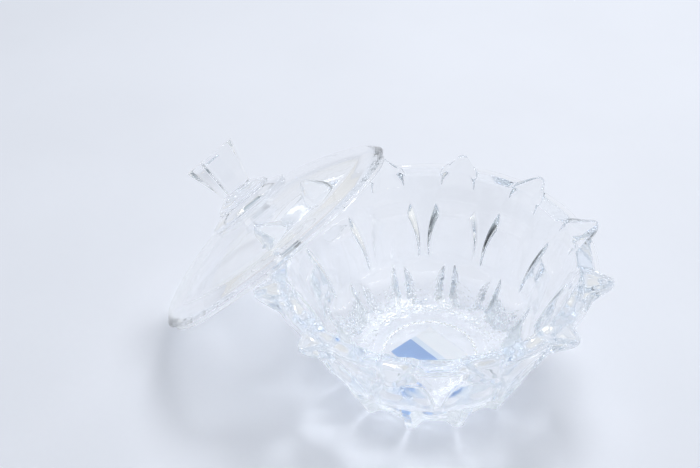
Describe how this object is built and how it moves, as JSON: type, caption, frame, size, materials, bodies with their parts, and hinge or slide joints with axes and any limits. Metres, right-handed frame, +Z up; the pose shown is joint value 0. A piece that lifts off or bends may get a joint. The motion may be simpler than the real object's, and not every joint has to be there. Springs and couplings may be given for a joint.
{
  "type": "candy bowl",
  "caption": "Clear pressed-glass candy bowl with a star-pointed rim, scooped wall and loose domed cover with a trumpet knob, leaning against it.",
  "frame": {"origin": "on the table, at the centre of the foot of the bowl", "axes": "+Z up along the axis of the bowl; -X towards the side where the cover leans"},
  "size_m": [0.2465, 0.1842, 0.1109],
  "materials": {
    "clear_glass": "clear, fire polished",
    "label_paper": "printed, one blue field and one white field"
  },
  "bodies": {
    "bowl": {"bowl": "clear_glass", "base_label": "label_paper"},
    "lid": {"lid": "clear_glass", "lid_knob": "clear_glass"}
  },
  "joints": [
    {"name": "lid_lift", "type": "slide", "parent": "bowl", "child": "lid", "axis": [-0.6947, 0, 0.7193], "range_m": [0, 0.12]}
  ]
}
